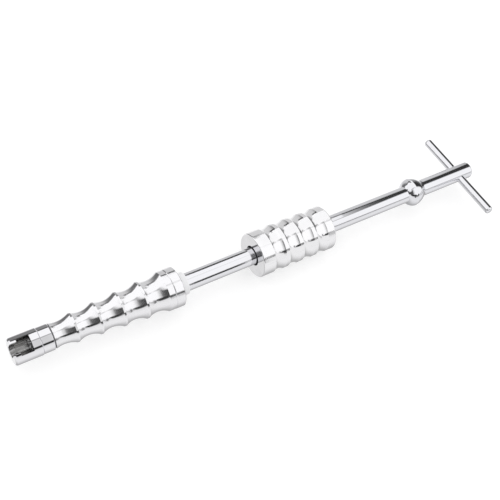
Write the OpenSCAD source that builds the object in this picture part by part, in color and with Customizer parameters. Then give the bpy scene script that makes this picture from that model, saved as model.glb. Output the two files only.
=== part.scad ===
// Slide hammer puller: a claw head with a T-slot, a tapered grip with five finger
// hollows, a sliding weight that runs on a chromed rod, a domed stop and a T-bar.
// The rod lies along X, the claw's front face is at X = 0 and the T-bar lies along Y.

/* [Claw head] */
// Diameter of the claw head
head_d = 23.3; // [19:0.1:30]
// Length of the claw head
head_len = 23.3; // [20:0.1:32]
// Width of the slot's mouth, which takes the neck of a pull tab
mouth_w = 9.4; // [6:0.1:12]
// Width of the pocket behind the mouth, which takes the tab's head
pocket_w = 14.2; // [12:0.1:17]
// Thickness of the lips in front of the pocket
lip_t = 5.6; // [3:0.1:7]
// Length of the pocket along the rod
pocket_len = 10.5; // [6:0.1:12]
// Turn of the slot about the rod, from straight up towards -Y, in degrees
slot_turn = 22; // [-90:1:90]
// Length of the bevel round the front face
head_bevel_len = 1.4; // [0.4:0.1:2.5]
// Depth of that bevel towards the rod
head_bevel_in = 0.9; // [0.4:0.1:2]

/* [Lock ring and washer] */
// Diameter of the lock ring behind the claw head
ring_d = 22.5; // [18:0.1:30]
// Length of the lock ring
ring_len = 9.8; // [6:0.1:18]
// Diameter of the dark washer between lock ring and grip
washer_d = 20.4; // [16:0.1:21]
// Thickness of that washer
washer_t = 0.8; // [0.5:0.1:2]

/* [Grip] */
// Distance between two crests of the grip
finger_pitch = 20.3; // [18:0.1:24]
// Number of finger hollows
finger_count = 5; // [4:1:6]
// From the front of the grip to its first crest
first_reach = 18.5; // [14:0.1:19.5]
// Diameter over the first crest
crest_front_d = 25.3; // [24:0.1:30]
// Diameter over the last crest
crest_rear_d = 35.2; // [31:0.1:42]
// Width of the land on each crest
crest_land = 1.5; // [0.8:0.1:3]
// Depth of a full finger hollow below the line over the crests
hollow_depth = 2.75; // [1.5:0.05:3.2]
// Length of the sleeve behind its last crest
sleeve_tail = 4.8; // [2:0.1:9]
// Diameter of the end cap
cap_d = 35.5; // [31:0.1:42]
// Length of the end cap
cap_len = 8.6; // [6:0.1:16]

/* [Buffer] */
// Diameter of the pale buffer that the weight strikes at the grip
buffer_d = 20; // [19:0.1:26]
// Length of the buffer that stands out of the end cap
buffer_len = 7.8; // [5:0.1:14]

/* [Slide rod] */
// Diameter of the slide rod
rod_d = 16; // [15:0.1:17]
// Bare rod between the buffer and the stop
run_len = 241.2; // [200:0.1:320]
// Diameter of the front spigot, on which ring and head screw
spigot_d = 12; // [8:0.1:13]
// Diameter of the rear spigot, on which the stop screws
tail_spigot_d = 10; // [6:0.1:12]
// Length of the rear spigot
tail_spigot_len = 18; // [12:0.1:30]

/* [Weight] */
// Diameter of the weight
weight_d = 41; // [36:0.1:50]
// Length of the weight
weight_len = 77; // [74:0.1:100]
// Gap between buffer and weight as it lies
weight_gap = 68.2; // [0:0.1:120]
// Land in front of the weight's first groove
front_land = 12.2; // [6:0.1:13]
// Distance between two grooves
groove_pitch = 15.1; // [13:0.1:16]
// Width of a groove
groove_w = 11.4; // [6:0.1:12]
// Depth of a groove
groove_depth = 1.55; // [0.6:0.05:2.4]
// Number of grooves
groove_count = 4; // [2:1:4]

/* [Weight bushes] */
// Length of each bush
bush_len = 14; // [8:0.1:20]
// Wall of each bush
bush_wall = 1; // [0.8:0.1:2]

/* [Stop and shank] */
// Diameter of the domed stop
stop_d = 26.9; // [22:0.1:36]
// Length of the steep front dome
stop_front_len = 7.7; // [5:0.1:12]
// Length of the long rear dome
stop_rear_len = 11.6; // [8:0.1:18]
// Shank behind the stop
shank_len = 62.4; // [50:0.1:110]
// From the shank's end to the axis of the T-bar
bar_inset = 14.6; // [9:0.1:24]

/* [T-bar] */
// Diameter of the T-bar
bar_d = 8; // [5:0.1:10]
// Length of the T-bar
bar_len = 101; // [70:0.1:140]
// How far the bar is pressed in off centre, towards -Y
bar_offset = 2.4; // [-10:0.1:10]

/* [Hidden] */

round_faces = 96;

// Clearances and overruns
seat_gap = 0.03;
run_gap = 0.05;
over = 1;

// Small bevels on turned edges
seam_bevel = 0.35;
ring_bevel = 0.5;
cap_bevel = 0.6;
buffer_bevel = 0.5;
weight_bevel = 0.9;
bar_bevel = 1.1;
shank_bevel = 1.3;
bore_bevel = 0.4;

// Depth of each finger hollow as a share of hollow_depth: the front one is shallower
hollow_depth_shares = [0.78, 1, 1, 1, 1, 1];
// Height of each dome's bulge over its chord, as a share of that chord
front_bulge_share = 0.116;
rear_bulge_share = 0.089;

// Places along the rod, from the claw's front face
ring_x = head_len;
washer_x = ring_x + ring_len;
grip_x = washer_x + washer_t;
last_crest_x = grip_x + first_reach + (finger_count - 1) * finger_pitch;
cap_x = last_crest_x + sleeve_tail;
buffer_x = cap_x + cap_len;
run_x = buffer_x + buffer_len;
weight_x = run_x + weight_gap;
stop_x = run_x + run_len;
crest_x = stop_x + stop_front_len;
shank_x = crest_x + stop_rear_len;
end_x = shank_x + shank_len;
bar_x = end_x - bar_inset;

// Front end of the rod: a threaded spigot that shows in the pocket, and its shoulder
spigot_show = 0.6;
pocket_back_x = lip_t + pocket_len;
spigot_x = pocket_back_x - spigot_show;
shoulder_x = grip_x + first_reach;
spigot_bevel = 0.8;

// Seat of the end cap in the sleeve, and of the buffer in the end cap
cap_spigot_d = (rod_d + crest_rear_d) / 2;
cap_spigot_len = 6;
buffer_spigot_d = (rod_d + buffer_d) / 2;
buffer_spigot_len = cap_len / 2;

// Bushes: split rings, each squeezed in behind the lip at one mouth of the weight's bore
bush_d = rod_d + 2 * run_gap + 2 * bush_wall;
bush_slit = 3;
bore_gap = 0.6;
bore_lip_len = 2;

// Root cone between the rear dome and the shank
root_len = 2.4;
root_rise = 1.1;

function taper_d(x) = crest_front_d + (x - grip_x - first_reach)
    * (crest_rear_d - crest_front_d) / ((finger_count - 1) * finger_pitch);

// Radius of an arc from its chord and the height of its bulge
function arc_r(chord, bulge) = (chord * chord / 4 + bulge * bulge) / (2 * bulge);

// Turns an outline of [radius, place along the rod] about the rod's axis
module turned() {
    rotate([0, 90, 0]) rotate_extrude($fn = round_faces) children();
}

// Plain round bore or pin along the rod
module along(x0, x1, d) {
    translate([x0, 0, 0]) rotate([0, 90, 0]) cylinder(d = d, h = x1 - x0, $fn = round_faces);
}

// Turned ring with a bore and a bevel on each outer edge
module bevelled_ring(x0, x1, outer_d, bore_d, bevel) {
    turned() polygon([
        [bore_d / 2, x0],
        [outer_d / 2 - bevel, x0],
        [outer_d / 2, x0 + bevel],
        [outer_d / 2, x1 - bevel],
        [outer_d / 2 - bevel, x1],
        [bore_d / 2, x1]
    ]);
}

// Slot stretch with a round bottom on the rod's axis, open upwards
module slot_stretch(x0, x1, width) {
    translate([x0, 0, 0]) rotate([90, 0, 90]) linear_extrude(height = x1 - x0) {
        circle(d = width, $fn = round_faces);
        translate([-width / 2, 0]) square([width, head_d]);
    }
}

// Circle that cuts one finger hollow between the crests at x0 and x1
module hollow_cut(x0, x1, share) {
    a = [taper_d(x0) / 2, x0];
    b = [taper_d(x1) / 2, x1];
    chord = norm(b - a);
    bulge = hollow_depth * share;
    radius = arc_r(chord, bulge);
    out = [b[1] - a[1], a[0] - b[0]] / chord;
    middle = (a + b) / 2 + out * (radius - bulge);
    translate(middle) circle(r = radius, $fn = round_faces * 2);
}

// Quarter outline under a dome's arc, from the point a to the point b
module dome_outline(a, b, share) {
    chord = norm(b - a);
    bulge = chord * share;
    radius = arc_r(chord, bulge);
    out = [b[1] - a[1], a[0] - b[0]] / chord;
    middle = (a + b) / 2 - out * (radius - bulge);
    intersection() {
        translate(middle) circle(r = radius, $fn = round_faces * 2);
        translate([0, a[1]]) square([max(a[0], b[0]) + bulge, b[1] - a[1]]);
    }
}

module claw_head() {
    color("gainsboro") difference() {
        turned() polygon([
            [0, 0],
            [head_d / 2 - head_bevel_in, 0],
            [head_d / 2, head_bevel_len],
            [head_d / 2, head_len - seam_bevel],
            [head_d / 2 - seam_bevel, head_len],
            [0, head_len]
        ]);
        along(pocket_back_x - over, head_len + over, spigot_d + 2 * seat_gap);
        rotate([slot_turn, 0, 0]) {
            slot_stretch(-over, lip_t + over, mouth_w);
            slot_stretch(lip_t, pocket_back_x, pocket_w);
        }
    }
}

module lock_ring() {
    color("gainsboro")
        bevelled_ring(ring_x, washer_x, ring_d, spigot_d + 2 * seat_gap, ring_bevel);
}

module front_washer() {
    color("dimgray") difference() {
        along(washer_x, grip_x, washer_d);
        along(washer_x - over, grip_x + over, spigot_d + 2 * seat_gap);
    }
}

module grip_sleeve() {
    first_x = grip_x + first_reach;
    color("whitesmoke") difference() {
        turned() difference() {
            polygon([
                [spigot_d / 2 + seat_gap, grip_x],
                [taper_d(grip_x) / 2, grip_x],
                [crest_rear_d / 2, last_crest_x],
                [crest_rear_d / 2, cap_x - seam_bevel],
                [crest_rear_d / 2 - seam_bevel, cap_x],
                [spigot_d / 2 + seat_gap, cap_x]
            ]);
            for (k = [0 : finger_count - 1]) {
                hollow_cut(
                    first_x + (k - 1) * finger_pitch + crest_land / 2,
                    first_x + k * finger_pitch - crest_land / 2,
                    hollow_depth_shares[k]
                );
            }
        }
        along(shoulder_x, cap_x + over, rod_d + 2 * seat_gap);
        along(cap_x - cap_spigot_len - seat_gap, cap_x + over, cap_spigot_d + 2 * seat_gap);
    }
}

module grip_end_cap() {
    color("whitesmoke") difference() {
        union() {
            bevelled_ring(cap_x, buffer_x, cap_d, rod_d + 2 * seat_gap, cap_bevel);
            bevelled_ring(cap_x - cap_spigot_len, cap_x + over, cap_spigot_d, rod_d + 2 * seat_gap,
                          seam_bevel);
        }
        along(buffer_x - buffer_spigot_len - seat_gap, buffer_x + over,
              buffer_spigot_d + 2 * seat_gap);
    }
}

module buffer() {
    color("white") {
        turned() polygon([
            [rod_d / 2 + seat_gap, buffer_x - buffer_spigot_len],
            [buffer_spigot_d / 2, buffer_x - buffer_spigot_len],
            [buffer_spigot_d / 2, buffer_x],
            [buffer_d / 2, buffer_x],
            [buffer_d / 2, run_x - buffer_bevel],
            [buffer_d / 2 - buffer_bevel, run_x],
            [rod_d / 2 + seat_gap, run_x]
        ]);
    }
}

module slide_rod() {
    color("silver") turned() polygon([
        [0, spigot_x],
        [spigot_d / 2 - spigot_bevel, spigot_x],
        [spigot_d / 2, spigot_x + spigot_bevel],
        [spigot_d / 2, shoulder_x],
        [rod_d / 2, shoulder_x],
        [rod_d / 2, stop_x],
        [tail_spigot_d / 2, stop_x],
        [tail_spigot_d / 2, stop_x + tail_spigot_len - spigot_bevel],
        [tail_spigot_d / 2 - spigot_bevel, stop_x + tail_spigot_len],
        [0, stop_x + tail_spigot_len]
    ]);
}

// Weight's bore at one end, drawn from that end inwards: bevelled mouth, lip, bush seat
module bore_end_cut() {
    bore_r = rod_d / 2 + bore_gap;
    seat_r = bush_d / 2 + run_gap;
    seat_len = bush_len + 2 * run_gap;
    turned() polygon([
        [0, -over],
        [bore_r + bore_bevel + over, -over],
        [bore_r, bore_bevel],
        [bore_r, bore_lip_len],
        [seat_r, bore_lip_len],
        [seat_r, bore_lip_len + seat_len],
        [0, bore_lip_len + seat_len]
    ]);
}

module slide_weight() {
    groove_r = arc_r(groove_w, groove_depth);
    color("whitesmoke") difference() {
        turned() difference() {
            polygon([
                [rod_d / 2 + bore_gap, weight_x],
                [weight_d / 2 - weight_bevel, weight_x],
                [weight_d / 2, weight_x + weight_bevel],
                [weight_d / 2, weight_x + weight_len - weight_bevel],
                [weight_d / 2 - weight_bevel, weight_x + weight_len],
                [rod_d / 2 + bore_gap, weight_x + weight_len]
            ]);
            for (k = [0 : groove_count - 1]) {
                translate([
                    weight_d / 2 - groove_depth + groove_r,
                    weight_x + front_land + groove_w / 2 + k * groove_pitch
                ]) circle(r = groove_r, $fn = round_faces * 2);
            }
        }
        translate([weight_x, 0, 0]) bore_end_cut();
        translate([weight_x + weight_len, 0, 0]) mirror([1, 0, 0]) bore_end_cut();
    }
}

// Split bush from its outer end at X = 0 inwards
module bush() {
    difference() {
        bevelled_ring(0, bush_len, bush_d, rod_d + 2 * run_gap, seam_bevel);
        translate([-over, -bush_slit / 2, 0]) cube([bush_len + 2 * over, bush_slit, bush_d]);
    }
}

module front_bush() {
    color("dimgray") translate([weight_x + bore_lip_len + run_gap, 0, 0]) bush();
}

module rear_bush() {
    color("dimgray")
        translate([weight_x + weight_len - bore_lip_len - run_gap, 0, 0]) mirror([1, 0, 0])
            bush();
}

module stop_shank() {
    color("silver") difference() {
        turned() {
            dome_outline([rod_d / 2, stop_x], [stop_d / 2, crest_x], front_bulge_share);
            dome_outline([stop_d / 2, crest_x], [rod_d / 2, shank_x], rear_bulge_share);
            polygon([
                [0, stop_x],
                [rod_d / 2, stop_x],
                [rod_d / 2 + root_rise, shank_x - root_len / 2],
                [rod_d / 2, shank_x + root_len / 2],
                [rod_d / 2, end_x - shank_bevel],
                [rod_d / 2 - shank_bevel, end_x],
                [0, end_x]
            ]);
        }
        along(stop_x - over, stop_x + tail_spigot_len + seat_gap, tail_spigot_d + 2 * seat_gap);
        translate([bar_x, rod_d, 0]) rotate([90, 0, 0])
            cylinder(d = bar_d + 2 * seat_gap, h = 2 * rod_d, $fn = round_faces);
    }
}

module t_bar() {
    color("silver") translate([bar_x, bar_len / 2 - bar_offset, 0])
        rotate([90, 0, 0]) rotate_extrude($fn = round_faces) polygon([
            [0, 0],
            [bar_d / 2 - bar_bevel, 0],
            [bar_d / 2, bar_bevel],
            [bar_d / 2, bar_len - bar_bevel],
            [bar_d / 2 - bar_bevel, bar_len],
            [0, bar_len]
        ]);
}

claw_head();
lock_ring();
front_washer();
grip_sleeve();
grip_end_cap();
buffer();
slide_rod();
slide_weight();
front_bush();
rear_bush();
stop_shank();
t_bar();
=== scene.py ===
import math

import bmesh
import bpy
from bpy.props import FloatProperty, FloatVectorProperty, IntProperty, PointerProperty
from mathutils import Matrix, Vector
from mathutils.bvhtree import BVHTree
from mathutils.interpolate import poly_3d_calc


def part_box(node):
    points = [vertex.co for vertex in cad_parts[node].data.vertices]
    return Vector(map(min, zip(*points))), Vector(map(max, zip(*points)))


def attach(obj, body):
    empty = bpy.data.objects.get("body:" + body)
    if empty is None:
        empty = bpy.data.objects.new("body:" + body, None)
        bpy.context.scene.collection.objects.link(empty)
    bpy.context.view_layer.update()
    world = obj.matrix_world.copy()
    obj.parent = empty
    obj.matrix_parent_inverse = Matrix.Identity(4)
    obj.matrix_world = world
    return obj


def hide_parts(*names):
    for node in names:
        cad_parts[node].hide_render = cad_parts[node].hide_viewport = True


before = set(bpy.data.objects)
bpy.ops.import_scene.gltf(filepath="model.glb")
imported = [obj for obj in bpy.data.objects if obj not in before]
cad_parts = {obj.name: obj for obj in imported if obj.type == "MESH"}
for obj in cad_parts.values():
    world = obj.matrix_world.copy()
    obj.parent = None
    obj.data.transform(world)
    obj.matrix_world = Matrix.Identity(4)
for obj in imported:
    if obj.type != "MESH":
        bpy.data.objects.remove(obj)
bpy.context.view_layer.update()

bl_info = {
    "name": "Slide hammer puller",
    "version": (1, 0, 0),
    "blender": (4, 5, 0),
    "location": "3D View > Sidebar > Puller",
    "description": "Dresses the packed slide hammer puller and its studio",
    "category": "Object",
}

MM = 0.001
HANDLE = "handle"
WEIGHT = "weight"


# Sizes

def radius_of(node):
    """The radius of a node that is turned about the rod."""
    low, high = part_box(node)
    return (high.z - low.z) / 2


def span_of(node):
    """The node's first and last place along the rod."""
    low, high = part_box(node)
    return low.x, high.x


def length_value(name, description, millimetres):
    return FloatProperty(name=name, description=description, default=millimetres * MM,
                         unit="LENGTH")


def colour_value(name, description, default):
    return FloatVectorProperty(name=name, description=description, default=default,
                               subtype="COLOR", size=3, min=0.0, max=1.0)


class GripSizes(bpy.types.PropertyGroup):
    first_crest: length_value("First crest", "From the claw's face to the first crest", 52.4)
    pitch: length_value("Finger pitch", "Distance between two crests", 20.3)
    count: IntProperty(
        name="Finger hollows", description="Number of finger hollows", default=5, min=1)
    front_crest_d: length_value("Front crest diameter", "Diameter over the first crest", 25.3)
    rear_crest_d: length_value("Rear crest diameter", "Diameter over the last crest", 35.2)
    land: length_value("Crest land", "Width of the land on each crest", 1.5)
    depth: length_value("Hollow depth", "Depth of a full finger hollow", 2.75)
    first_share: FloatProperty(
        name="First hollow share", description="Depth of the first hollow as a share of the others",
        default=0.78, min=0.1, max=1.0, subtype="FACTOR")


class WeightSizes(bpy.types.PropertyGroup):
    first_groove: length_value("Front land", "Land in front of the first groove", 12.2)
    pitch: length_value("Groove pitch", "Distance between two grooves", 15.1)
    width: length_value("Groove width", "Width of a groove", 11.4)
    depth: length_value("Groove depth", "Depth of a groove", 1.55)
    count: IntProperty(name="Grooves", description="Number of grooves", default=4, min=1)


class ClawSizes(bpy.types.PropertyGroup):
    mouth_w: length_value("Mouth width", "Width of the slot between the lips", 9.4)
    pocket_w: length_value("Pocket width", "Width of the pocket behind the lips", 14.2)
    lip_t: length_value("Lip thickness", "Thickness of the lips", 5.6)
    pocket_len: length_value("Pocket length", "Length of the pocket along the rod", 10.5)
    turn: FloatProperty(
        name="Slot turn", description="Turn of the slot about the rod, towards -Y",
        default=math.radians(22.0), unit="ROTATION", subtype="ANGLE")


class FinishColours(bpy.types.PropertyGroup):
    chrome: colour_value("Chrome", "Colour of the claw head and lock ring", (0.90, 0.895, 0.92))
    grip: colour_value("Grip", "Colour of the polished grip", (0.94, 0.935, 0.955))
    weight: colour_value("Weight", "Colour of the satin weight", (0.96, 0.955, 0.97))
    # Slot recess colour: partly the unpolished milled finish, partly painted shade, set darker than
    # the chrome for the shade inside the slot.
    recess: colour_value("Slot recess", "Colour of the unpolished slot", (0.60, 0.595, 0.59))
    washer: colour_value("Washer", "Colour of the thin front washer", (0.24, 0.24, 0.245))
    # Painted shade: the near-black colour of the weight's steel bore and mouth chamfers, standing
    # for the shade in the bore.
    polymer: colour_value("Dark polymer", "Colour of the weight's bore", (0.02, 0.02, 0.022))


class StudioSettings(bpy.types.PropertyGroup):
    panel_light: FloatProperty(
        name="Panel light", description="Strength of the pale panels in the reflections",
        default=1.04, min=0.0)
    fill_light: FloatProperty(
        name="Fill light", description="Strength of the soft light all round",
        default=1.0, min=0.0)


GROUPS = {
    "puller_grip": GripSizes,
    "puller_weight": WeightSizes,
    "puller_claw": ClawSizes,
    "puller_colours": FinishColours,
    "puller_studio": StudioSettings,
}


def settings(name):
    return getattr(bpy.context.scene, name)


def new_object(name, data):
    """An object in the scene with that data."""
    obj = bpy.data.objects.new(name, data)
    bpy.context.scene.collection.objects.link(obj)
    return obj


# Profiles: lists of (place along the rod, radius)

GUARD = 0.12 * MM


def rounded(points, radii, steps=4):
    """Outline through the points, with the corner at each point rounded.

    A guard point on each side of a rounding keeps the long faces beside it true.
    """
    made = []
    count = len(points)
    for i, point in enumerate(points):
        radius = radii[i]
        here = Vector(point)
        if radius <= 0:
            made.append(tuple(here))
            continue
        before = Vector(points[i - 1]) - here
        after = Vector(points[(i + 1) % count]) - here
        room_before, room_after = before.length, after.length
        before.normalize()
        after.normalize()
        half = before.angle(after) / 2
        reach = radius / math.tan(half)
        centre = here + (before + after).normalized() * (radius / math.sin(half))
        start = here + before * reach - centre
        end = here + after * reach - centre
        turn = start.angle_signed(end)
        if room_before > 2 * reach + 3 * GUARD:
            made.append(tuple(here + before * (reach + GUARD)))
        for step in range(steps + 1):
            spun = Matrix.Rotation(-turn * step / steps, 2) @ start
            made.append(tuple(centre + spun))
        if room_after > 2 * reach + 3 * GUARD:
            made.append(tuple(here + after * (reach + GUARD)))
    return made


def arc_between(a, b, share, steps):
    """Points of the bulging arc from a to b, whose height is a share of its chord."""
    a, b = Vector(a), Vector(b)
    chord = (b - a).length
    bulge = chord * share
    radius = (chord * chord / 4 + bulge * bulge) / (2 * bulge)
    along = (b - a) / chord
    out = Vector((-along.y, along.x))
    middle = (a + b) / 2 - out * (radius - bulge)
    half = math.asin(chord / 2 / radius)
    points = []
    for step in range(steps + 1):
        angle = -half + 2 * half * step / steps
        points.append(tuple(middle + radius * (along * math.sin(angle) + out * math.cos(angle))))
    return points


def outline_object(name, points, skin=None):
    """The outline as a chain of edges in the plane of rod and +Z."""
    mesh = bpy.data.meshes.new(name)
    count = len(points)
    mesh.from_pydata([(x, 0, r) for x, r in points], [(i, i + 1) for i in range(count - 1)], [])
    if skin is not None:
        flag = mesh.attributes.new("skin", "FLOAT", "POINT")
        flag.data.foreach_set("value", skin)
    return new_object(name, mesh)


# Node helpers

class Tree:
    """Adds and links nodes, in a node group or a material."""

    def __init__(self, tree):
        self.tree = tree

    def add(self, kind, inputs=None, **values):
        node = self.tree.nodes.new(kind)
        for key, value in values.items():
            setattr(node, key, value)
        for key, value in (inputs or {}).items():
            self.put(node.inputs[key], value)
        return node

    def put(self, socket, value):
        if isinstance(value, bpy.types.NodeSocket):
            self.tree.links.new(value, socket)
        elif isinstance(value, bpy.types.Node):
            self.tree.links.new(value.outputs[0], socket)
        else:
            socket.default_value = value

    def math(self, operation, a, b=None):
        node = self.add("ShaderNodeMath", operation=operation)
        for socket, value in zip(node.inputs, (a, b)):
            if value is not None:
                self.put(socket, value)
        return node.outputs[0]

    def tinted(self, colour, tone):
        """The colour times a grey tone."""
        grey = self.add("ShaderNodeCombineColor", {0: tone, 1: tone, 2: tone})
        mixed = self.add("ShaderNodeMix", {"Factor": 1.0, "A": (*colour, 1.0), "B": grey},
                         data_type="RGBA", blend_type="MULTIPLY")
        return mixed.outputs["Result"]


def new_group(name, inputs):
    """A geometry node group with inputs given as (label, kind, default)."""
    tree = bpy.data.node_groups.new(name, "GeometryNodeTree")
    sockets = tree.interface
    sockets.new_socket("Geometry", in_out="INPUT", socket_type="NodeSocketGeometry")
    sockets.new_socket("Geometry", in_out="OUTPUT", socket_type="NodeSocketGeometry")
    for label, kind, default in inputs:
        socket = sockets.new_socket(label, in_out="INPUT", socket_type="NodeSocket" + kind)
        if default is not None:
            socket.default_value = default
    return tree


def hollows_tree(name):
    """Cuts a row of round hollows into the flagged points of an outline."""
    tree = new_group(name, (
        ("Start", "Float", None), ("Pitch", "Float", 0.02), ("Width", "Float", 0.01),
        ("Depth", "Float", 0.001), ("First share", "Float", 1.0), ("Slope", "Float", 0.0)))
    t = Tree(tree)
    source = t.add("NodeGroupInput").outputs
    place = t.add("GeometryNodeInputPosition")
    parts = t.add("ShaderNodeSeparateXYZ", {0: place}).outputs
    flag = t.add("GeometryNodeInputNamedAttribute", {"Name": "skin"}, data_type="FLOAT")
    along = t.math("SUBTRACT", parts["X"], source["Start"])
    turn = t.math("DIVIDE", along, source["Pitch"])
    number = t.math("FLOOR", turn)
    offset = t.math("SUBTRACT", t.math("SUBTRACT", turn, number), 0.5)
    offset = t.math("MULTIPLY", offset, source["Pitch"])
    first = t.math("LESS_THAN", number, 0.5)
    lost = t.math("SUBTRACT", 1.0, source["First share"])
    share = t.math("SUBTRACT", 1.0, t.math("MULTIPLY", first, lost))
    bulge = t.math("MULTIPLY", source["Depth"], share)
    half = t.math("DIVIDE", source["Width"], 2.0)
    radius = t.math("ADD", t.math("MULTIPLY", half, half), t.math("MULTIPLY", bulge, bulge))
    radius = t.math("DIVIDE", radius, t.math("MULTIPLY", bulge, 2.0))
    reach = t.math("SUBTRACT", t.math("MULTIPLY", radius, radius),
                   t.math("MULTIPLY", offset, offset))
    height = t.math("SQRT", t.math("MAXIMUM", reach, 0.0))
    sink = t.math("SUBTRACT", height, t.math("SUBTRACT", radius, bulge))
    sink = t.math("MULTIPLY", t.math("MAXIMUM", sink, 0.0), flag.outputs[0])
    back = t.math("MULTIPLY", sink, source["Slope"])
    shift = t.add("ShaderNodeCombineXYZ", {"X": back, "Z": t.math("MULTIPLY", sink, -1.0)})
    moved = t.add("GeometryNodeSetPosition", {"Geometry": source["Geometry"], "Offset": shift})
    t.add("NodeGroupOutput", {"Geometry": moved})
    return tree


def turned_tree(name):
    """Turns an outline about the rod's axis into a closed skin."""
    tree = new_group(name, (
        ("Faces around", "Int", 128), ("Finish", "Material", None),
        ("Join within", "Float", 0.000002)))
    t = Tree(tree)
    source = t.add("NodeGroupInput").outputs
    size = t.add("GeometryNodeAttributeDomainSize", {0: source["Geometry"]}, component="MESH")
    count = size.outputs["Point Count"]
    columns = t.math("ADD", source["Faces around"], 1.0)
    grid = t.add("GeometryNodeMeshGrid", {"Vertices X": columns, "Vertices Y": count})
    index = t.add("GeometryNodeInputIndex").outputs[0]
    row = t.math("MODULO", index, count)
    column = t.math("FLOOR", t.math("DIVIDE", index, count))
    angle = t.math("MULTIPLY", t.math("DIVIDE", column, source["Faces around"]), 2 * math.pi)
    place = t.add("GeometryNodeInputPosition")
    taken = t.add("GeometryNodeSampleIndex",
                  {"Geometry": source["Geometry"], "Value": place, "Index": row},
                  data_type="FLOAT_VECTOR", domain="POINT")
    parts = t.add("ShaderNodeSeparateXYZ", {0: taken.outputs[0]}).outputs
    y = t.math("MULTIPLY", parts["Z"], t.math("SINE", angle))
    z = t.math("MULTIPLY", parts["Z"], t.math("COSINE", angle))
    spot = t.add("ShaderNodeCombineXYZ", {"X": parts["X"], "Y": y, "Z": z})
    moved = t.add("GeometryNodeSetPosition", {"Geometry": grid.outputs["Mesh"], "Position": spot})
    closed = t.add("GeometryNodeMergeByDistance",
                   {"Geometry": moved, "Distance": source["Join within"]})
    real = t.add("GeometryNodeRealizeInstances", {"Geometry": closed})
    finished = t.add("GeometryNodeSetMaterial", {"Geometry": real, "Material": source["Finish"]})
    t.add("NodeGroupOutput", {"Geometry": finished})
    return tree


TREES = {"row_of_hollows": hollows_tree, "turned_piece": turned_tree}


def with_tree(obj, name, values):
    """Gives the object a modifier with the named tree, its inputs set by their labels."""
    tree = bpy.data.node_groups.get(name) or TREES[name](name)
    modifier = obj.modifiers.new(name, "NODES")
    modifier.node_group = tree
    for socket in tree.interface.items_tree:
        if socket.name in values:
            modifier[socket.identifier] = values[socket.name]


def plain_mesh(obj, name):
    """The evaluated object as a plain mesh object of that name."""
    graph = bpy.context.evaluated_depsgraph_get()
    mesh = bpy.data.meshes.new_from_object(obj.evaluated_get(graph), depsgraph=graph)
    old = obj.data
    bpy.data.objects.remove(obj)
    if old.users == 0:
        bpy.data.meshes.remove(old)
    mesh.name = name
    return new_object(name, mesh)


def point_outwards(obj):
    """Turns every face of a closed piece outwards."""
    mesh = obj.data
    work = bmesh.new()
    work.from_mesh(mesh)
    bmesh.ops.dissolve_degenerate(work, dist=1e-7, edges=work.edges)
    bmesh.ops.recalc_face_normals(work, faces=work.faces)
    work.to_mesh(mesh)
    work.free()


def soften(obj, angle=24.0):
    """Smooths the piece, but for edges sharper than the angle in degrees."""
    mesh = obj.data
    mesh.polygons.foreach_set("use_smooth", [True] * len(mesh.polygons))
    mesh.set_sharp_from_angle(angle=math.radians(angle))
    mesh.update()


def turned_piece(name, outline, coat, faces, hollows=None, skin=None, sharp=24.0):
    """A closed turned piece along the rod from an outline of (place, radius)."""
    flags = None if skin is None else skin + [skin[0]]
    obj = outline_object(name + "_outline", outline + [outline[0]], flags)
    if hollows:
        with_tree(obj, "row_of_hollows", hollows)
    with_tree(obj, "turned_piece", {"Faces around": faces, "Finish": coat})
    made = plain_mesh(obj, name)
    made.data.materials.clear()
    made.data.materials.append(coat)
    for polygon in made.data.polygons:
        polygon.material_index = 0
    point_outwards(made)
    soften(made, sharp)
    return made


def carried_normals(obj, sources, reach=2e-6, alike=0.9):
    """Gives a cut piece the shading of the whole pieces that it was cut from.

    Returns the number of each face's source, or -1 where none lies within reach.
    """
    looked = []
    for source, sign in sources:
        mesh = source.data
        corners = [Vector(n.vector) for n in mesh.corner_normals]
        shape = BVHTree.FromPolygons([v.co for v in mesh.vertices],
                                     [list(p.vertices) for p in mesh.polygons])
        looked.append((mesh, corners, shape, sign))
    mesh = obj.data
    normals = [None] * len(mesh.loops)
    came_from = []
    for polygon in mesh.polygons:
        found = -1
        for number, (_, _, shape, sign) in enumerate(looked):
            spot, normal, _, distance = shape.find_nearest(polygon.center)
            if spot is None or distance > reach or normal.dot(polygon.normal) * sign < alike:
                continue
            found = number
            break
        came_from.append(found)
        for loop in polygon.loop_indices:
            normals[loop] = polygon.normal.copy()
            if found < 0:
                continue
            other, corners, shape, sign = looked[found]
            corner = mesh.vertices[mesh.loops[loop].vertex_index].co
            spot, normal, index, _ = shape.find_nearest(corner.lerp(polygon.center, 0.002))
            if normal.dot(polygon.normal) * sign < alike:
                continue
            face = other.polygons[index]
            weights = poly_3d_calc([other.vertices[v].co for v in face.vertices], spot)
            total = Vector((0, 0, 0))
            for weight, corner_index in zip(weights, face.loop_indices):
                total += corners[corner_index] * weight
            normals[loop] = (total * sign).normalized()
    mesh.polygons.foreach_set("use_smooth", [True] * len(mesh.polygons))
    mesh.normals_split_custom_set(normals)
    return came_from


def cut_from(whole, cutter, name):
    """The whole piece less the cutter, shaded as both are, and the source of each face."""
    piece = whole.copy()
    piece.data = whole.data.copy()
    bpy.context.scene.collection.objects.link(piece)
    modifier = piece.modifiers.new("cut", "BOOLEAN")
    modifier.operation = "DIFFERENCE"
    modifier.solver = "EXACT"
    modifier.object = cutter
    piece = plain_mesh(piece, name)
    came_from = carried_normals(piece, [(whole, 1), (cutter, -1)])
    for spare in (whole, cutter):
        bpy.data.objects.remove(spare)
    return piece, came_from


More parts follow.
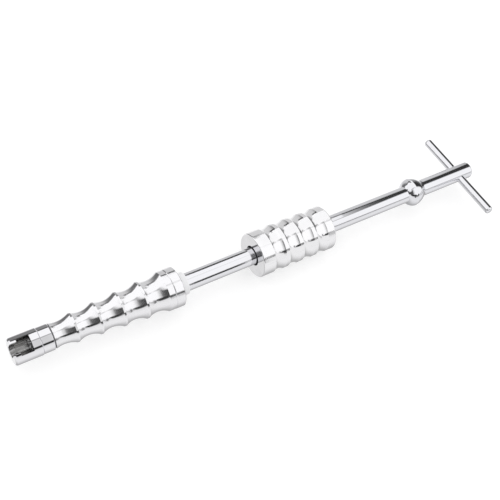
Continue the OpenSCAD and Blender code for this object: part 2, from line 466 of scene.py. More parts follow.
def closed_cutter(name, rings, turn=0.0):
    """A closed cutter over rings of points, turned about the rod."""
    count = len(rings[0])
    last = count * (len(rings) - 1)
    faces = [(low + i, low + (i + 1) % count, low + count + (i + 1) % count, low + count + i)
             for low in range(0, last, count) for i in range(count)]
    faces += [tuple(range(count)), tuple(last + i for i in reversed(range(count)))]
    mesh = bpy.data.meshes.new(name)
    mesh.from_pydata(sum(rings, []), [], faces)
    mesh.transform(Matrix.Rotation(turn, 4, "X"))
    cutter = new_object(name, mesh)
    point_outwards(cutter)
    soften(cutter)
    return cutter


def rides(obj, body, slot, *nodes):
    """Lets the piece ride on a body in the place of the CAD's nodes, which it hides; the slot is
    not used.
    """
    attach(obj, body)
    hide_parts(*nodes)


# Materials

def new_material(name):
    material = bpy.data.materials.new(name)
    material.use_nodes = True
    material.node_tree.nodes.clear()
    return material


def noise(t, spot, scale, detail, roughness):
    return t.add("ShaderNodeTexNoise", {"Vector": spot, "Scale": scale, "Detail": detail,
                                        "Roughness": roughness})


def mapped(t, value, low, high, first, last):
    """The value, mapped from low to high onto first to last."""
    return t.add("ShaderNodeMapRange", {"Value": value, "From Min": low, "From Max": high,
                                        "To Min": first, "To Max": last})


def metal(name, colour, roughness, spread, lathe_marks, mark_pitch, wear=0.0, grain_pull=0.0,
          drawn=False):
    """Turned and polished metal: fine marks round the rod, cloudy gloss and a worn tone.

    Drawn metal is streaked along the rod. A grain pull spreads the highlights along it.
    """
    material = new_material(name)
    t = Tree(material.node_tree)
    spot = t.add("ShaderNodeTexCoord").outputs["Object"]
    parts = t.add("ShaderNodeSeparateXYZ", {0: spot}).outputs
    if drawn:
        streak = t.add("ShaderNodeVectorMath", {0: spot, 1: (0.09, 1.0, 1.0)},
                       operation="MULTIPLY")
        cloud = noise(t, streak, 520.0, 2.0, 0.5)
    else:
        cloud = noise(t, spot, 90.0, 4.0, 0.6)
    place = t.math("MULTIPLY", parts["X"], 1.0 / mark_pitch)
    marks = t.add("ShaderNodeTexNoise", {"W": place, "Scale": 1.0, "Detail": 3.0,
                                         "Roughness": 0.7}, noise_dimensions="1D")
    grain = noise(t, spot, 2600.0, 2.0, 0.5)
    gloss = mapped(t, cloud, 0.35, 0.7, roughness - spread, roughness + spread)
    uneven = t.math("MULTIPLY", t.math("SUBTRACT", marks, 0.5), spread)
    base = (*colour, 1.0)
    if wear:
        tone = mapped(t, cloud, 0.3, 0.75, 1.0, 1.0 - wear)
        base = t.tinted(colour, tone)
    height = t.math("ADD", marks, t.math("MULTIPLY", grain, 0.4))
    bump = t.add("ShaderNodeBump", {"Strength": lathe_marks, "Distance": 0.00001,
                                    "Height": height})
    shader = t.add("ShaderNodeBsdfPrincipled", {
        "Base Color": base, "Metallic": 1.0, "Roughness": t.math("ADD", gloss, uneven),
        "Normal": bump})
    if grain_pull:
        around = t.add("ShaderNodeCombineXYZ", {"Y": t.math("MULTIPLY", parts["Z"], -1.0),
                                                "Z": parts["Y"]})
        turned = t.add("ShaderNodeVectorTransform", {0: around}, vector_type="VECTOR",
                       convert_from="OBJECT", convert_to="WORLD")
        t.put(shader.inputs["Tangent"], turned)
        shader.inputs["Anisotropic"].default_value = grain_pull
        shader.inputs["Anisotropic Rotation"].default_value = 0.25
    t.add("ShaderNodeOutputMaterial", {"Surface": shader})
    return material


def polymer(name, colour, roughness, spread):
    """Moulded plastic with a fine matt grain and slight cloudiness, also used for the painted shade
    in the weight's bore.
    """
    material = new_material(name)
    t = Tree(material.node_tree)
    spot = t.add("ShaderNodeTexCoord").outputs["Object"]
    cloud = noise(t, spot, 160.0, 3.0, 0.55)
    grain = t.add("ShaderNodeTexVoronoi", {"Vector": spot, "Scale": 3200.0})
    gloss = mapped(t, cloud, 0.3, 0.7, roughness - spread, roughness + spread)
    tone = mapped(t, cloud, 0.3, 0.7, 0.96, 1.0)
    bump = t.add("ShaderNodeBump", {"Strength": 0.12, "Distance": 0.00003, "Height": grain})
    shader = t.add("ShaderNodeBsdfPrincipled", {
        "Base Color": t.tinted(colour, tone), "Roughness": gloss, "Normal": bump})
    t.add("ShaderNodeOutputMaterial", {"Surface": shader})
    return material


# Each finish: its maker, its colour, the share of that colour, and the maker's values.
# rod_chrome, pale_polymer and dark_polymer are not made here: they are the frame's plain ones.
FINISHES = {
    "chrome_plate": (metal, "chrome", 1.0, dict(
        roughness=0.03, spread=0.012, lathe_marks=0.10, mark_pitch=0.0009)),
    "polished_aluminium": (metal, "grip", 1.0, dict(
        roughness=0.15, spread=0.03, lathe_marks=0.16, mark_pitch=0.0007, wear=0.02,
        grain_pull=0.93)),
    "satin_steel": (metal, "weight", 1.0, dict(
        roughness=0.13, spread=0.025, lathe_marks=0.18, mark_pitch=0.0006, wear=0.02,
        grain_pull=0.93)),
    "faced_steel": (metal, "weight", 0.84, dict(
        roughness=0.11, spread=0.03, lathe_marks=0.22, mark_pitch=0.0006, wear=0.10)),
    # The slot's milled faces: an unpolished finish, with painted shade in its darker colour.
    "machined_recess": (metal, "recess", 1.0, dict(
        roughness=0.24, spread=0.06, lathe_marks=0.06, mark_pitch=0.0008, wear=0.6,
        drawn=True)),
    # Painted shade: the pocket's back wall, at 0.3 of the recess colour, dark for the shade at the
    # pocket's end.
    "recess_end": (metal, "recess", 0.3, dict(
        roughness=0.34, spread=0.05, lathe_marks=0.06, mark_pitch=0.0008, wear=0.2)),
    # Painted shade: the weight's steel bore and mouth chamfers, coloured near black with the
    # plastic maker.
    "bore_shadow": (polymer, "polymer", 1.0, dict(roughness=0.6, spread=0.06)),
    "washer_polymer": (polymer, "washer", 1.0, dict(roughness=0.5, spread=0.06)),
}


def finish(name):
    """The named finish, made once, or the frame's own material of that name."""
    found = bpy.data.materials.get(name)
    if found:
        return found
    maker, key, share, values = FINISHES[name]
    shade = getattr(settings("puller_colours"), key)
    return maker(name, [tone * share for tone in shade], **values)


# Pieces

AROUND = 160
AROUND_LARGE = 176
AROUND_BAR = 96
FINE_SHARP = 16.0
SPIGOT_RADIUS = 6.0 * MM
SPIGOT_BORE = 6.03 * MM
TAIL_RADIUS = 5.0 * MM
ROD_BORE = 8.03 * MM


def ring_outline(x0, x1, outer, front_bevel, rear_bevel):
    """Outline of a ring on the spigot, with a softly bevelled outer edge at each end."""
    points = [(x0, SPIGOT_BORE), (x0, outer - front_bevel), (x0 + front_bevel, outer),
              (x1 - rear_bevel, outer), (x1, outer - rear_bevel), (x1, SPIGOT_BORE)]
    soft = min(front_bevel, rear_bevel) * 0.4
    return rounded(points, [0, soft, soft, soft, soft, 0])


class PULLER_OT_claw_head(bpy.types.Operator):
    """Turn the chromed claw head and mill its T-slot"""

    bl_idname = "puller.claw_head"
    bl_label = "Claw head"

    def execute(self, context):
        sizes = settings("puller_claw")
        x0, x1 = span_of("claw_head")
        outer = radius_of("claw_head")
        nose_in, nose_back = 0.9 * MM, 1.4 * MM
        edge, soft = 0.35 * MM, 0.12 * MM
        points = [(x0, 0.0), (x0, outer - nose_in), (x0 + nose_back, outer),
                  (x1 - edge, outer), (x1, outer - edge), (x1, 0.0)]
        outline = rounded(points, [0, edge, edge, soft, soft, 0])
        whole = turned_piece("claw_head_whole", outline, finish("chrome_plate"), AROUND)
        cutter = self.slot_cutter(sizes, outer, x0)
        piece, came_from = cut_from(whole, cutter, "claw_head_chrome")
        piece.data.materials.clear()
        for name in ("chrome_plate", "machined_recess", "recess_end"):
            piece.data.materials.append(finish(name))
        slack = 0.01 * MM
        lip = x0 + sizes.lip_t - slack
        opening = Vector((0, -math.sin(sizes.turn), math.cos(sizes.turn)))
        # Painted shade: the milled faces in the slot take the darker recess finish, and the
        # pocket's back wall the darkest one.
        for polygon, source in zip(piece.data.polygons, came_from):
            milled = polygon.center.x > lip or polygon.center.dot(opening) < 0
            if source != 1 or not milled:
                polygon.material_index = 0
            else:
                polygon.material_index = 2 if polygon.normal.x < -0.9 else 1
        rides(piece, HANDLE, "chrome", "claw_head")
        return {"FINISHED"}

    def slot_cutter(self, sizes, outer, x0):
        """A T-slot cutter: two stretches with a round bottom, as one closed piece."""
        steps = 40
        top = outer * 1.5
        front = x0 - 3 * MM
        lip = x0 + sizes.lip_t
        back = lip + sizes.pocket_len
        angles = [math.pi * i / steps for i in range(steps + 1)]

        def ring(x, half):
            bottom = [(x, half * math.cos(a), -half * math.sin(a)) for a in angles]
            return bottom + [(x, -half, top), (x, half, top)]

        mouth, pocket = sizes.mouth_w / 2, sizes.pocket_w / 2
        rings = [ring(front, mouth), ring(lip, mouth), ring(lip, pocket), ring(back, pocket)]
        return closed_cutter("slot_cutter", rings, sizes.turn)


class PULLER_OT_lock_ring(bpy.types.Operator):
    """Turn the chromed lock ring and the dark washer behind it"""

    bl_idname = "puller.lock_ring"
    bl_label = "Lock ring and washer"

    def execute(self, context):
        x0, x1 = span_of("lock_ring")
        outer = radius_of("lock_ring")
        front_bevel, rear_bevel = 0.45 * MM, 0.5 * MM
        outline = ring_outline(x0, x1, outer, front_bevel, rear_bevel)
        ring = turned_piece("lock_ring_chrome", outline, finish("chrome_plate"), AROUND)
        rides(ring, HANDLE, "chrome", "lock_ring")
        x0, x1 = span_of("front_washer")
        bevel = 0.15 * MM
        outline = ring_outline(x0, x1, radius_of("front_washer"), bevel, bevel)
        washer = turned_piece("front_washer_dark", outline, finish("washer_polymer"), AROUND)
        rides(washer, HANDLE, "dark_polymer", "front_washer")
        return {"FINISHED"}


class PULLER_OT_grip(bpy.types.Operator):
    """Turn the tapered grip with its finger hollows"""

    bl_idname = "puller.grip"
    bl_label = "Grip"

    def execute(self, context):
        sizes = settings("puller_grip")
        x0, x1 = span_of("grip_sleeve")
        last = sizes.first_crest + (sizes.count - 1) * sizes.pitch
        slope = (sizes.rear_crest_d - sizes.front_crest_d) / 2 / (last - sizes.first_crest)

        def taper(x):
            return sizes.front_crest_d / 2 + (x - sizes.first_crest) * slope

        start = sizes.first_crest - sizes.pitch
        rear_edge = 0.35 * MM
        crest = sizes.rear_crest_d / 2
        places = self.skin_places(sizes, x0, start)
        rear = rounded([(last, crest - 1 * MM), (last, crest), (x1, crest), (x1, SPIGOT_BORE)],
                       [0, 0, rear_edge, 0], steps=3)[2:]
        outline = [(x0, SPIGOT_BORE)] + [(x, taper(x)) for x in places] + rear
        skin = [0.0] + [1.0] * len(places) + [0.0] * len(rear)
        hollows = {"Start": start, "Pitch": sizes.pitch, "Width": sizes.pitch - sizes.land,
                   "Depth": sizes.depth, "First share": sizes.first_share, "Slope": slope}
        piece = turned_piece("grip_fingers", outline, finish("polished_aluminium"),
                             AROUND_LARGE, hollows, skin, FINE_SHARP)
        rides(piece, HANDLE, "grip_aluminium", "grip_sleeve")
        return {"FINISHED"}

    def skin_places(self, sizes, x0, start):
        """Places along the taper: close together in the hollows, with both edges of each land."""
        places = []
        steps = 22
        for k in range(sizes.count):
            low = start + k * sizes.pitch + sizes.land / 2
            high = start + (k + 1) * sizes.pitch - sizes.land / 2
            for i in range(steps + 1):
                places.append(low + (high - low) * i / steps)
        places = [x for x in places if x > x0 + 0.05 * MM]
        places.append(start + sizes.count * sizes.pitch)
        return [x0] + places


class PULLER_OT_end_cap(bpy.types.Operator):
    """Turn the grip's end cap and the pale buffer"""

    bl_idname = "puller.end_cap"
    bl_label = "End cap and buffer"

    def execute(self, context):
        seam = span_of("grip_sleeve")[1]
        rear = span_of("grip_end_cap")[1]
        outer = radius_of("grip_end_cap")
        bevel, soft, seam_soft = 0.6 * MM, 0.3 * MM, 0.2 * MM
        points = [(seam, ROD_BORE), (seam, outer - bevel), (seam + bevel, outer),
                  (rear - bevel, outer), (rear, outer - bevel), (rear, ROD_BORE)]
        outline = rounded(points, [0, seam_soft, soft, soft, soft, 0])
        cap = turned_piece("grip_cap", outline, finish("polished_aluminium"), AROUND_LARGE)
        rides(cap, HANDLE, "grip_aluminium", "grip_end_cap")
        x1 = span_of("buffer")[1]
        outer = radius_of("buffer")
        bevel = 0.5 * MM
        points = [(rear, ROD_BORE), (rear, outer), (x1 - bevel, outer), (x1, outer - bevel),
                  (x1, ROD_BORE)]
        outline = rounded(points, [0, 0, soft, soft, 0])
        buffer = turned_piece("buffer_pale", outline, finish("pale_polymer"), AROUND)
        rides(buffer, HANDLE, "pale_polymer", "buffer")
        return {"FINISHED"}


class PULLER_OT_rod(bpy.types.Operator):
    """Turn the chromed slide rod with its two spigots"""

    bl_idname = "puller.rod"
    bl_label = "Slide rod"

    def execute(self, context):
        x0, x1 = span_of("slide_rod")
        stop = span_of("stop_shank")[0]
        radius = radius_of("slide_rod")
        shoulder = settings("puller_grip").first_crest
        bevel, soft, tail_soft = 0.8 * MM, 0.2 * MM, 0.3 * MM
        points = [(x0, 0.0), (x0, SPIGOT_RADIUS - bevel), (x0 + bevel, SPIGOT_RADIUS),
                  (shoulder, SPIGOT_RADIUS), (shoulder, radius), (stop, radius),
                  (stop, TAIL_RADIUS), (x1, TAIL_RADIUS), (x1, 0.0)]
        outline = rounded(points, [0, soft, soft, 0, soft, 0, 0, tail_soft, 0])
        rod = turned_piece("slide_rod_chrome", outline, finish("rod_chrome"), AROUND)
        rides(rod, HANDLE, "rod_chrome", "slide_rod")
        return {"FINISHED"}


class PULLER_OT_weight(bpy.types.Operator):
    """Turn the sliding weight with its round grooves, and finish its bushes"""

    bl_idname = "puller.weight"
    bl_label = "Sliding weight"

    def execute(self, context):
        sizes = settings("puller_weight")
        x0, x1 = span_of("slide_weight")
        outer = radius_of("slide_weight")
        start = x0 + sizes.first_groove + sizes.width / 2 - sizes.pitch / 2
        mouth, lead, seat = 8.6 * MM, 9.45 * MM, 9.1 * MM
        lip, seat_end, chamfer = 2 * MM, 16.1 * MM, 1.1 * MM
        edge, mouth_soft, lead_soft = 0.9 * MM, 0.2 * MM, 0.1 * MM
        reach = 3 * MM
        front = rounded([(x0 + lip, mouth), (x0 + chamfer, mouth), (x0, lead), (x0, outer),
                         (x0 + reach, outer)], [0, mouth_soft, lead_soft, edge, 0], steps=6)
        rear = rounded([(x1 - reach, outer), (x1, outer), (x1, lead), (x1 - chamfer, mouth),
                        (x1 - lip, mouth)], [0, edge, lead_soft, mouth_soft, 0], steps=6)
        bore = [(x1 - lip, seat), (x1 - seat_end, seat), (x1 - seat_end, mouth),
                (x0 + seat_end, mouth), (x0 + seat_end, seat), (x0 + lip, seat)]
        steps = 26
        grooved = []
        for k in range(sizes.count):
            low = x0 + sizes.first_groove + k * sizes.pitch
            grooved += [(low + sizes.width * i / steps, outer) for i in range(steps + 1)]
        outline = front[:-1] + grooved + rear[1:] + bore
        plain_after = len(rear) - 1 + len(bore)
        skin = [0.0] * (len(front) - 1) + [1.0] * len(grooved) + [0.0] * plain_after
        grooves = {"Start": start, "Pitch": sizes.pitch, "Width": sizes.width,
                   "Depth": sizes.depth, "First share": 1.0, "Slope": 0.0}
        piece = turned_piece("slide_weight_satin", outline, finish("satin_steel"),
                             AROUND_LARGE, grooves, skin, FINE_SHARP)
        piece.data.materials.append(finish("bore_shadow"))
        piece.data.materials.append(finish("faced_steel"))
        # Painted shade: faces in the bore and on its mouth chamfers take the near-black
        # bore_shadow; the end faces take the faced steel.
        for polygon in piece.data.polygons:
            centre = polygon.center
            if math.hypot(centre.y, centre.z) < lead - 0.04 * MM:
                polygon.material_index = 1
            elif abs(polygon.normal.x) > 0.999:
                polygon.material_index = 2
        rides(piece, WEIGHT, "weight_steel", "slide_weight")
        for node in ("front_bush", "rear_bush"):
            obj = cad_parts[node]
            obj.data.materials.clear()
            obj.data.materials.append(finish("dark_polymer"))
        return {"FINISHED"}


class PULLER_OT_stop(bpy.types.Operator):
    """Turn the domed stop with its shank and drill it for the T-bar"""

    bl_idname = "puller.stop"
    bl_label = "Stop and shank"

    def execute(self, context):
        x0, x1 = span_of("stop_shank")
        outer = radius_of("stop_shank")
        rod = radius_of("slide_rod")
        front_dome, rear_dome = 7.7 * MM, 11.6 * MM
        front_bulge, rear_bulge = 0.116, 0.089
        fillet, tip_edge, clearance = 2.4 * MM, 1.9 * MM, 0.02 * MM
        crest = x0 + front_dome
        foot = crest + rear_dome
        front = arc_between((x0, rod), (crest, outer), front_bulge, steps=18)
        rear = arc_between((crest, outer), (foot, rod), rear_bulge, steps=24)
        root = self.root_fillet(rear, foot, rod, fillet)
        tip = [(x1 - 6 * MM, rod), (x1, rod), (x1, 0.0)]
        tip = rounded(tip, [0, tip_edge, 0], steps=10)[1:]
        outline = [(x0, 0.0)] + front + root + tip
        whole = turned_piece("stop_whole", outline, finish("rod_chrome"), AROUND_LARGE,
                             sharp=14.0)
        low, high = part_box("t_bar")
        radius = (high.x - low.x) / 2 + clearance
        drill = self.drill((low.x + high.x) / 2, radius, rod * 1.4)
        piece = cut_from(whole, drill, "stop_and_shank")[0]
        rides(piece, HANDLE, "rod_chrome", "stop_shank")
        return {"FINISHED"}

    def root_fillet(self, dome, foot, rod, length):
        """The dome's points up to its root, then a small hollow into the shank."""
        overlap = length * 0.35
        kept = [p for p in dome if p[0] < foot - overlap]
        end = foot + length
        a = Vector(kept[-1])
        slope = (a - Vector(kept[-2])).normalized()
        corner = Vector((a.x + slope.x * (rod - a.y) / slope.y, rod))
        b = Vector((end, rod))
        steps = 8
        for i in range(1, steps + 1):
            s = i / steps
            point = a * (1 - s) ** 2 + corner * 2 * s * (1 - s) + b * s * s
            kept.append(tuple(point))
        kept.append((end + 2 * GUARD, rod))
        return kept

    def drill(self, bar_x, radius, reach):
        """A closed round cutter along Y."""
        steps = 96
        angles = [2 * math.pi * i / steps for i in range(steps)]
        rings = [[(bar_x + radius * math.cos(a), y, radius * math.sin(a)) for a in angles]
                 for y in (-reach, reach)]
        return closed_cutter("bar_drill", rings)


class PULLER_OT_t_bar(bpy.types.Operator):
    """Turn the chromed T-bar with its rounded ends"""

    bl_idname = "puller.t_bar"
    bl_label = "T-bar"

    def execute(self, context):
        low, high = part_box("t_bar")
        radius = (high.x - low.x) / 2
        end_edge = 2.4 * MM
        points = [(low.y, 0.0), (low.y, radius), (high.y, radius), (high.y, 0.0)]
        outline = rounded(points, [0, end_edge, end_edge, 0], steps=12)
        bar = turned_piece("t_bar_chrome", outline, finish("rod_chrome"), AROUND_BAR)
        across = Matrix.Rotation(math.radians(90), 4, "Z")
        bar.data.transform(across)
        bar.data.transform(Matrix.Translation(((low.x + high.x) / 2, 0, 0)))
        point_outwards(bar)
        soften(bar)
        rides(bar, HANDLE, "rod_chrome", "t_bar")
        return {"FINISHED"}


# Studio

CAMERA_SPOT = (-91.902 * MM, -349.752 * MM, 610.473 * MM)
CAMERA_BACK = (-0.40835482, -0.45989771, 0.78850519)
CAMERA_RIGHT = (0.84833025, -0.51012437, 0.14180594)
CAMERA_UP = (0.33701949, 0.72681994, 0.59845688)
SENSOR_MM = 36.0
LENS_MM = 870.0 / 500.0 * SENSOR_MM


class PULLER_OT_stage(bpy.types.Operator):
    """Set up the camera, the pale floor and the soft studio round the puller"""

    bl_idname = "puller.stage"
    bl_label = "Studio"

    def execute(self, context):
        self.camera(context)
        self.floor()
        self.studio(context)
        context.scene.view_settings.view_transform = "Standard"
        return {"FINISHED"}

    def camera(self, context):
        data = bpy.data.cameras.new("studio_camera")
        data.lens = LENS_MM
        data.sensor_width = SENSOR_MM
        data.clip_start = 0.01
        data.clip_end = 20.0
        camera = new_object("studio_camera", data)
        turn = Matrix((CAMERA_RIGHT, CAMERA_UP, CAMERA_BACK)).transposed().to_4x4()
        camera.matrix_world = Matrix.Translation(CAMERA_SPOT) @ turn
        context.scene.camera = camera

    def floor(self):
        ground = min(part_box(node)[0].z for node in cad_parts)
        half = 6.0
        mesh = bpy.data.meshes.new("studio_floor")
        mesh.from_pydata([(-half, -half, ground), (half, -half, ground),
                          (half, half, ground), (-half, half, ground)], [], [(0, 1, 2, 3)])
        floor = new_object("studio_floor", mesh)
        material = new_material("pale_floor")
        t = Tree(material.node_tree)
        spot = t.add("ShaderNodeTexCoord").outputs["Object"]
        paper = t.add("ShaderNodeTexNoise", {"Vector": spot, "Scale": 30.0, "Detail": 3.0})
        tone = t.add("ShaderNodeMapRange", {"Value": paper, "To Min": 0.605, "To Max": 0.615})
        grey = t.add("ShaderNodeCombineColor", {0: tone, 1: tone, 2: tone})
        matt = t.add("ShaderNodeBsdfDiffuse", {"Color": grey})
        ways = t.add("ShaderNodeLightPath").outputs
        lift = t.add("ShaderNodeEmission", {
            "Strength": t.math("MULTIPLY", ways["Is Camera Ray"], 0.50)})
        both = t.add("ShaderNodeAddShader", {0: matt, 1: lift})
        clear = t.add("ShaderNodeBsdfTransparent")
        mixed = t.add("ShaderNodeMixShader", {0: ways["Is Glossy Ray"], 1: both, 2: clear})
        t.add("ShaderNodeOutputMaterial", {"Surface": mixed})
        mesh.materials.append(material)

    def studio(self, context):
        """Soft panels over, behind and in front of the tool, and the pale room round them."""
        values = settings("puller_studio")
        for name, distance, stations in PANELS:
            self.panel(name, distance, stations, values.panel_light)
        world = bpy.data.worlds.new("studio_tent")
        world.use_nodes = True
        world.node_tree.nodes.clear()
        context.scene.world = world
        t = Tree(world.node_tree)
        heading = t.add("ShaderNodeTexCoord").outputs["Generated"]
        parts = t.add("ShaderNodeSeparateXYZ", {0: heading}).outputs
        ahead = parts["X"]
        turn = t.math("ARCTAN2", t.math("MULTIPLY", parts["Y"], -1.0), parts["Z"])
        turn = t.math("MULTIPLY", turn, 180.0 / math.pi)

        def step(value, low, high):
            node = t.add("ShaderNodeMapRange", {"Value": value, "From Min": low, "From Max": high},
                         interpolation_type="SMOOTHSTEP")
            return node.outputs[0]

        def blend(factor, a, b):
            node = t.add("ShaderNodeMix", {"Factor": factor, "A": a, "B": b}, data_type="FLOAT")
            return node.outputs[0]

        def along(points, scale):
            """A curve over the heading along the rod, from (heading, value) points."""
            node = t.add("ShaderNodeFloatCurve", {"Value": ahead})
            curve = node.mapping.curves[0]
            points = [(0.0, points[0][1])] + points + [(1.0, points[-1][1])]
            while len(curve.points) < len(points):
                curve.points.new(0.5, 0.5)
            for knot, (place, value) in zip(curve.points, points):
                knot.location = (place, value / scale)
                knot.handle_type = "VECTOR"
            node.mapping.update()
            return t.math("MULTIPLY", node.outputs[0], scale)

        # The room's glow by turn, in degrees from straight up towards -Y: dark overhead, a gap
        # that brightens along the rod, the floor past its edge, and behind -90 the room at the
        # back, which is darker towards both ends of the rod.
        dark = 0.035
        gap = along([(0.41, 0.035), (0.44, 0.05), (0.47, 0.09), (0.50, 0.20), (0.55, 0.36),
                     (0.6, 0.50)], 1.0)
        level = blend(step(turn, 58.0, 60.0), dark, gap)
        floor_edge = along([(0.16, 82.0), (0.30, 76.0), (0.33, 76.0), (0.40, 74.0), (0.43, 71.5),
                            (0.485, 71.0), (0.50, 86.0)], 100.0)
        past = t.math("SUBTRACT", turn, floor_edge)
        floor = blend(step(turn, 120.0, 185.0), 0.88, 0.42)
        floor = blend(step(past, -5.0, 22.0), 0.72, floor)
        level = blend(step(past, -2.0, 3.0), level, floor)
        back = blend(step(turn, -180.0, -140.0), 0.42, 1.0)
        back = blend(step(turn, -140.0, -100.0), back, 0.74)
        back = blend(step(ahead, -0.85, -0.45), t.math("MULTIPLY", back, 0.48), back)
        back = blend(step(ahead, 0.7, 0.85), back, t.math("MULTIPLY", back, 0.55))
        level = blend(step(turn, -96.0, -90.0), back, level)
        ways = t.add("ShaderNodeLightPath").outputs
        white = (1.0, 1.0, 1.0, 1.0)
        tent = t.add("ShaderNodeBackground", {"Color": white, "Strength": level})
        fill = t.add("ShaderNodeBackground", {"Color": white, "Strength": values.fill_light})
        mixed = t.add("ShaderNodeMixShader", {0: ways["Is Glossy Ray"], 1: fill, 2: tent})
        t.add("ShaderNodeOutputWorld", {"Surface": mixed})

    def panel(self, name, distance, stations, light):
        """A soft panel along the rod, seen only in reflections.

        A station is (place, low turn, its softness, high turn, its softness, glow).
        The turn is from straight up towards -Y, in degrees.
        """
        vertices, faces, glows, covers = [], [], [], []
        first, last = stations[0][0], stations[-1][0]
        row_length, columns = 0.012, 48
        rows = int((last - first) / row_length) + 1
        for r in range(rows + 1):
            x = first + (last - first) * r / rows
            low, low_soft, high, high_soft, glow = self.between(stations, x)
            for c in range(columns + 1):
                turn = low + (high - low) * c / columns
                angle = math.radians(turn)
                vertices.append((x, -distance * math.sin(angle), distance * math.cos(angle)))
                covers.append(self.ease((turn - low) / low_soft)
                              * self.ease((high - turn) / high_soft))
                glows.append(glow * light)
        for r in range(rows):
            for c in range(columns):
                a = r * (columns + 1) + c
                b = a + columns + 1
                faces.append((a, a + 1, b + 1, b))
        mesh = bpy.data.meshes.new(name)
        mesh.from_pydata(vertices, [], faces)
        for key, data in (("glow", glows), ("cover", covers)):
            mesh.attributes.new(key, "FLOAT", "POINT").data.foreach_set("value", data)
        panel = new_object(name, mesh)
        panel.visible_camera = False
        panel.visible_diffuse = False
        panel.visible_shadow = False
        panel.visible_volume_scatter = False
        mesh.materials.append(self.panel_finish())

    def between(self, stations, x):
        """The values of a panel at a place between its stations."""
        for here, there in zip(stations, stations[1:]):
            if x <= there[0]:
                share = (x - here[0]) / (there[0] - here[0])
                return [a + (b - a) * share for a, b in zip(here[1:], there[1:])]
        return stations[-1][1:]

    def ease(self, value):
        """A smooth step from 0 to 1."""
        value = min(max(value, 0.0), 1.0)
        return value * value * (3 - 2 * value)

    def panel_finish(self):
        """A glow that fades out at the panel's edges, made once."""
        found = bpy.data.materials.get("soft_panel")
        if found:
            return found
        material = new_material("soft_panel")
        material.cycles.emission_sampling = "NONE"
        t = Tree(material.node_tree)
        glow = t.add("ShaderNodeAttribute", attribute_name="glow").outputs["Fac"]
        cover = t.add("ShaderNodeAttribute", attribute_name="cover").outputs["Fac"]
        light = t.add("ShaderNodeEmission", {"Strength": glow})
        clear = t.add("ShaderNodeBsdfTransparent")
        mixed = t.add("ShaderNodeMixShader", {0: cover, 1: clear, 2: light})
        t.add("ShaderNodeOutputMaterial", {"Surface": mixed})
        return material


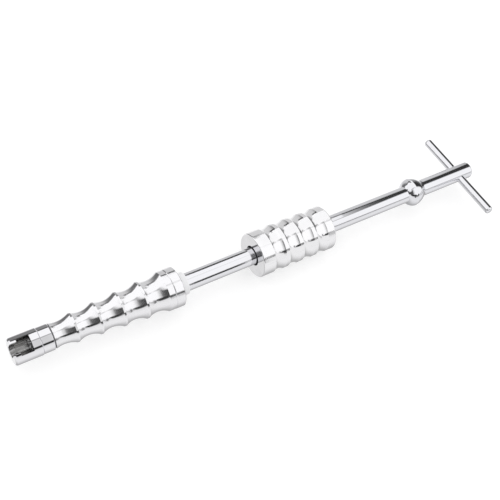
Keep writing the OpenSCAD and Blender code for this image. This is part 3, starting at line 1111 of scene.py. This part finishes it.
# Each panel: name, distance from the rod in metres, stations
PANELS = (
    ("overhead_panel", 0.66,
     ((-0.90, -100, 3, 36, 16, 1.0), (-0.40, -90, 3, 26, 18, 1.0), (-0.194, -82, 3, 14, 20, 1.0),
      (-0.04, -66, 6, 3, 12, 1.0), (0.05, -63, 8, 5, 6, 1.0), (0.093, -57, 8, 6, 5, 1.0),
      (0.13, -57, 8, 6, 4, 1.0), (0.20, -57.5, 4, 6, 4, 1.0), (0.375, -57.5, 4, 6, 4, 1.0),
      (0.398, -44.5, 3, 6, 4, 1.0), (0.516, -44.5, 3, 6, 4, 1.0), (0.522, -60.5, 3, 8, 4, 1.0),
      (0.65, -60.5, 3, 8, 4, 1.0), (0.676, -42, 4, 6, 4, 1.0), (0.69, -38, 8, 6, 4, 0.87),
      (0.72, -38, 8, 6, 4, 0.48), (0.75, -38, 8, 6, 4, 0.21), (0.775, -38, 8, 6, 4, 0.06),
      (0.80, -38, 8, 6, 4, 0.03))),
    ("rear_panel", 0.69,
     ((-1.2, -120, 14, -62.5, 2, 0.145), (0.04, -120, 14, -62.5, 2, 0.145),
      (0.16, -115, 14, -62.5, 2, 0.26), (0.30, -112, 14, -62.5, 2, 0.55),
      (0.38, -112, 14, -62.5, 2, 0.62), (0.40, -112, 14, -65.5, 2, 0.62),
      (0.52, -112, 14, -65.5, 2, 0.62), (0.54, -112, 14, -58, 2, 0.64),
      (0.68, -112, 14, -58, 2, 0.64), (0.72, -112, 14, -47, 12, 0.62),
      (0.75, -112, 14, -46.5, 12, 0.62), (0.78, -112, 14, -43.5, 12, 0.63),
      (0.84, -112, 14, -42, 12, 0.63), (0.90, -112, 14, -39, 12, 0.65),
      (0.97, -112, 14, -38, 12, 0.65), (1.05, -112, 14, -56, 4, 0.40),
      (1.5, -112, 14, -56, 4, 0.12), (4.0, -112, 14, -56, 4, 0.12))),
    ("front_panel", 0.55,
     ((-2.0, 24, 6, 65, 2, 0.06), (-0.30, 24, 8, 65, 2, 0.065), (-0.20, 20, 8, 65, 2, 0.09),
      (-0.08, 14, 6, 65, 2, 0.10), (-0.01, 12, 4, 65, 2, 0.15), (0.03, 10, 2, 65, 2, 0.56),
      (0.05, 10, 2, 65, 2, 0.66), (0.09, 10, 2, 65, 2, 0.72), (0.12, 10, 2, 65, 2, 0.64),
      (0.15, 10, 2, 65, 2, 0.85), (0.19, 10, 2, 65, 2, 1.0), (0.325, 10, 2, 65, 2, 1.0),
      (0.335, 10, 2, 72, 2, 1.0), (0.460, 10, 2, 72, 2, 1.0), (0.464, 10, 2, 63.5, 2, 1.0),
      (0.603, 10, 2, 64.5, 2, 1.0), (0.62, 10, 2, 76.5, 2, 1.0), (3.0, 10, 2, 78, 2, 1.0))),
    ("join_panel", 0.73,
     ((-2.0, -20, 6, 32, 12, 0.62), (-0.20, -16, 6, 32, 12, 0.60), (-0.05, -16, 6, 30, 8, 0.36),
      (0.09, -4, 6, 20, 6, 0.38), (0.14, 0, 6, 20, 6, 0.36), (0.20, -2, 6, 20, 6, 0.60),
      (0.37, -2, 6, 20, 6, 0.75), (0.42, -2, 6, 20, 6, 0.90), (0.64, -2, 6, 20, 6, 1.0),
      (0.71, 2, 6, 20, 6, 0.50), (0.80, 2, 6, 20, 6, 0.58), (0.86, 0, 6, 20, 6, 0.74),
      (3.0, 0, 6, 20, 6, 0.74))),
    ("grip_card", 0.15,
     ((0.15, -50, 4, 6, 4, 1.0), (0.20, -50, 4, 6, 4, 1.0), (0.208, -41, 4, 6, 4, 1.0),
      (0.282, -41, 4, 6, 4, 1.0), (0.286, -55.5, 3, 8, 4, 1.0), (0.385, -55.5, 3, 8, 4, 1.0))),
    ("weight_card", 0.05,
     ((0.240, -38, 6, 9.5, 9.5, 0.95), (0.345, -38, 6, 9.5, 9.5, 0.95))),
    ("weight_low_card", 0.05,
     ((0.241, 65, 3, 95, 8, 0.84), (0.310, 65, 3, 95, 8, 0.84))),
    ("low_card", 0.30,
     ((0.262, 66.5, 3, 92.5, 5, 0.045), (0.338, 66.5, 3, 92.5, 5, 0.045))),
)


PIECES = (
    PULLER_OT_claw_head,
    PULLER_OT_lock_ring,
    PULLER_OT_grip,
    PULLER_OT_end_cap,
    PULLER_OT_rod,
    PULLER_OT_weight,
    PULLER_OT_stop,
    PULLER_OT_t_bar,
    PULLER_OT_stage,
)


class PULLER_PT_panel(bpy.types.Panel):
    """Lists the puller's pieces, sizes and colours"""

    bl_idname = "PULLER_PT_panel"
    bl_label = "Slide hammer puller"
    bl_space_type = "VIEW_3D"
    bl_region_type = "UI"
    bl_category = "Puller"

    def draw(self, context):
        layout = self.layout
        for piece in PIECES:
            layout.operator(piece.bl_idname)
        for name, group in GROUPS.items():
            box = layout.box()
            values = getattr(context.scene, name)
            for key in group.__annotations__:
                box.prop(values, key)


def register():
    for group in GROUPS.values():
        bpy.utils.register_class(group)
    for piece in PIECES:
        bpy.utils.register_class(piece)
    bpy.utils.register_class(PULLER_PT_panel)
    for name, group in GROUPS.items():
        setattr(bpy.types.Scene, name, PointerProperty(type=group))


def unregister():
    for name in GROUPS:
        delattr(bpy.types.Scene, name)
    bpy.utils.unregister_class(PULLER_PT_panel)
    for piece in reversed(PIECES):
        bpy.utils.unregister_class(piece)
    for group in reversed(list(GROUPS.values())):
        bpy.utils.unregister_class(group)


def main():
    register()
    for piece in PIECES:
        group, name = piece.bl_idname.split(".")
        getattr(getattr(bpy.ops, group), name)()


if __name__ == "__main__":
    main()
